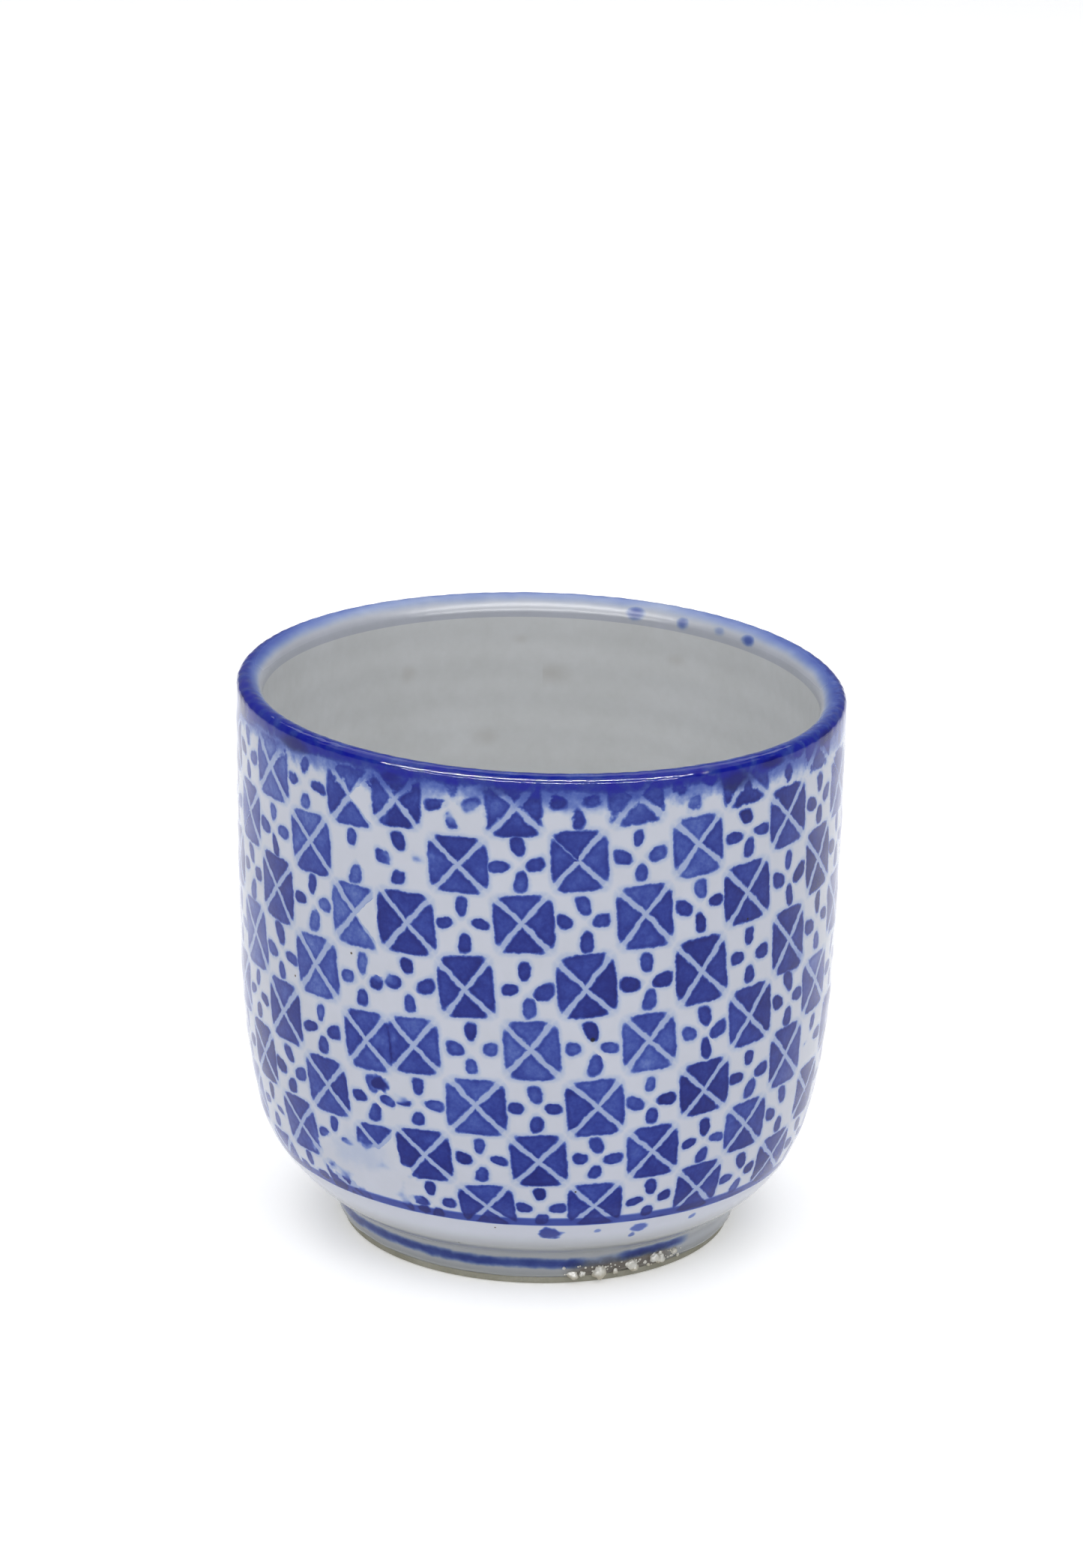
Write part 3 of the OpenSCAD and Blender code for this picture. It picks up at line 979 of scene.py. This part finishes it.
well = coat("glaze_foot_well", WELL_GLAZE_START, WELL_MIDDLE)
dress(well, clear, "clear_glaze", "foot_well_glaze")

# Turn, height and radius of the big crumbs
GRIT = [(11, 1.5, 0.7), (13.5, 1.6, 0.45), (18.5, 1.7, 0.95), (23.5, 1.5, 0.4), (28, 2.2, 0.6),
        (29.5, 1.5, 0.5), (36, 2.4, 0.75), (38.5, 1.9, 0.55), (43, 2.5, 0.45)]
SMALL_GRIT = 60
SMALL_GRIT_TURNS = 8, 46
SMALL_GRIT_HEIGHTS = 1.3, 2.9


def crumb(work, turn, z, r, seed):
    """Adds one broken, half-melted crumb, seated on the glazed foot."""
    reach = reach_at(z)
    out = [float(np.interp(reach, OUTLINE[:, 3], offset(OUTLINE, GLAZE_T)[:, k])) for k in range(2)]
    seat = Vector([float(v) for v in thrown(turn, *out)]) * MM
    outward = Vector((sind(turn) * cosd(FOOT_TAPER), -cosd(turn) * cosd(FOOT_TAPER), -sind(FOOT_TAPER)))
    ball = bmesh.ops.create_icosphere(work, subdivisions=3, radius=1)["verts"]
    rng = np.random.default_rng(seed)
    stretch_by = Vector(rng.uniform(0.8, 1.2, 3))
    for v in ball:
        lump = noise.noise(v.co * 1.3 + Vector((seed, 0, 0))) * 0.42
        lump += noise.noise(v.co * 3.4 + Vector((0, seed, 0))) * 0.16
        spot = v.co * stretch_by * (1 + lump)
        up = spot.dot(outward)
        spot += outward * (min(up, 0) * -0.5 + max(up, 0) * -0.12)
        v.co = seat + spot * r * MM


work = bmesh.new()
for seed, (turn, z, r) in enumerate(GRIT):
    crumb(work, turn, z, r, seed)
rng = np.random.default_rng(9)
for seed in range(SMALL_GRIT):
    place_by = rng.uniform(*SMALL_GRIT_TURNS), rng.uniform(*SMALL_GRIT_HEIGHTS)
    crumb(work, *place_by, 0.09 + 0.17 * rng.random() ** 2, 50 + seed)
grit_mesh = bpy.data.meshes.new("kiln_grit_crumbs")
work.to_mesh(grit_mesh)
work.free()
grit_mesh.shade_smooth()
dress(linked("kiln_grit_crumbs", grit_mesh), stone, "grit", "kiln_grit")

# ---------------------------------------------------------------- floor, light and camera

FLOOR_HALF = 3.0
FLOOR_GAP = 0.02 * MM


def floor_material():
    """A plain, nearly white paper."""
    made, tree, shader = material("pale_floor")
    fleck = cloud(tree, 90, 3, 0.6, seed=91.0)
    feed(shader.inputs["Base Color"], tint(tree, (0.86, 0.86, 0.865), [(fleck + 1, (0.99, 0.99, 0.99))]))
    shader.inputs["Roughness"].default_value = 0.9
    shader.inputs["Specular IOR Level"].default_value = 0.1
    shader.inputs["Emission Color"].default_value = (1, 1, 1, 1)
    shader.inputs["Emission Strength"].default_value = 0.3
    return made


floor_mesh = bpy.data.meshes.new("floor")
corners = [(-1, -1), (1, -1), (1, 1), (-1, 1)]
floor_mesh.from_pydata([(x * FLOOR_HALF, y * FLOOR_HALF, -FLOOR_GAP) for x, y in corners], [], [range(4)])
floor = linked("floor", floor_mesh)
floor_mesh.materials.append(floor_material())
floor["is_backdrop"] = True

world = bpy.data.worlds.new("studio")
bpy.context.scene.world = world
world.use_nodes = True
sky = world.node_tree.nodes["Background"]
sky.inputs["Color"].default_value = (0.95, 0.97, 1.0, 1)
sky.inputs["Strength"].default_value = 0.32
AIM = Vector((0, 0, 0.04))


def soft_box(name, turn, elevation, distance, width, height, power):
    """A rectangular light that faces the cup, placed by its turn from the front and elevation."""
    light = bpy.data.lights.new(name, "AREA")
    light.shape = "RECTANGLE"
    light.size, light.size_y, light.energy = width, height, power
    box = bpy.data.objects.new(name, light)
    bpy.context.scene.collection.objects.link(box)
    level = cosd(elevation)
    way = Vector((sind(turn) * level, -cosd(turn) * level, sind(elevation)))
    box.location = AIM + way * distance
    box.rotation_euler = way.to_track_quat("Z", "Y").to_euler()
    return box


soft_box("front_box", 0, 50, 1.1, 1.3, 0.5, 5.6)
soft_box("back_box", 180, 58, 1.1, 1.3, 0.6, 5.5)
soft_box("left_box", -80, 56, 1.2, 0.9, 0.9, 3.2)
soft_box("right_box", 80, 56, 1.2, 0.9, 0.9, 3.1)
# Thin lamps that only show as lines of light along the lip
for name, elevation, power in (("high_glint", 46, 65), ("low_glint", 13, 35)):
    soft_box(name, 0, elevation, 0.9, 2.2, 0.014, power).visible_diffuse = False

ELEVATION = 18.76
DISTANCE = 0.75
AIM_X = 0.15 * MM
AIM_Z = 60.33 * MM
FOCAL_LENGTH = 130.691
SENSOR = 36.0
ROLL = 1.12

lens = bpy.data.cameras.new("camera")
lens.sensor_width = SENSOR
lens.lens = FOCAL_LENGTH
lens.clip_start = 0.05
camera = bpy.data.objects.new("camera", lens)
bpy.context.scene.collection.objects.link(camera)
camera.location = (AIM_X, -DISTANCE * cosd(ELEVATION), AIM_Z + DISTANCE * sind(ELEVATION))
level_view = Matrix.Rotation(math.radians(90 - ELEVATION), 3, "X")
camera.rotation_euler = (level_view @ Matrix.Rotation(math.radians(ROLL), 3, "Z")).to_euler()
bpy.context.scene.camera = camera
bpy.context.scene.view_settings.view_transform = "Standard"

({"cad": [list(map(float, corner)) for corner in cad_box],
           "visual": [list(map(float, corner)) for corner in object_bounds()]})
